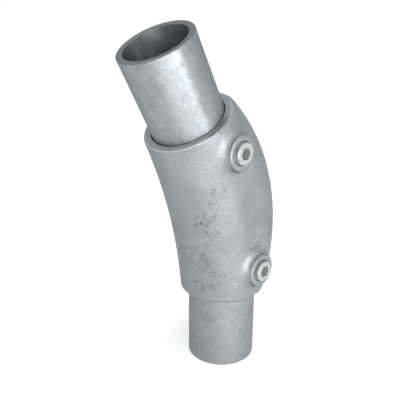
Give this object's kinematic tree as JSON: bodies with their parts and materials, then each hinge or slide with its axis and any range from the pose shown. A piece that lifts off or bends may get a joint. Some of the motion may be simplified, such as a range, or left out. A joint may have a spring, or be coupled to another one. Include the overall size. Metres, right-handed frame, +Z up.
{
  "type": "adjustable tube clamp",
  "caption": "Variable-angle elbow clamp: a hollow cast elbow holds a tube stub in each mouth, each swivels a few degrees and is locked by a hex-socket set screw.",
  "frame": {"origin": "centre of the lower tube's free end, which is the face that the part stands on", "axes": "+Z up along the lower tube, +X the way the upper tube leans, +Y the side with both set screws"},
  "size_m": [0.1196, 0.0671, 0.2379],
  "materials": {
    "galvanised_casting": "hot-dip galvanised casting, matt to satin",
    "galvanised_tube": "galvanised steel tube, satin",
    "plated_screw": "plated steel, matt"
  },
  "bodies": {
    "casting": {"elbow_casting": "galvanised_casting"},
    "lower_tube": {"lower_tube": "galvanised_tube"},
    "upper_tube": {"upper_tube": "galvanised_tube"},
    "lower_set_screw": {"lower_set_screw": "plated_screw"},
    "upper_set_screw": {"upper_set_screw": "plated_screw"}
  },
  "joints": [
    {"name": "lower_tube_swivel", "type": "hinge", "parent": "casting", "child": "lower_tube", "pos_m": [0, 0, 0.0554], "axis": [0, 1, 0], "range_deg": [-9, 9]},
    {"name": "upper_tube_swivel", "type": "hinge", "parent": "casting", "child": "upper_tube", "pos_m": [0.03392, 0, 0.17811], "axis": [0, 1, 0], "range_deg": [-6.1, 11.9]},
    {"name": "lower_screw_travel", "type": "slide", "parent": "casting", "child": "lower_set_screw", "axis": [0, 1, 0], "range_m": [0, 0.008]},
    {"name": "upper_screw_travel", "type": "slide", "parent": "casting", "child": "upper_set_screw", "axis": [0, 1, 0], "range_m": [0, 0.008]}
  ]
}
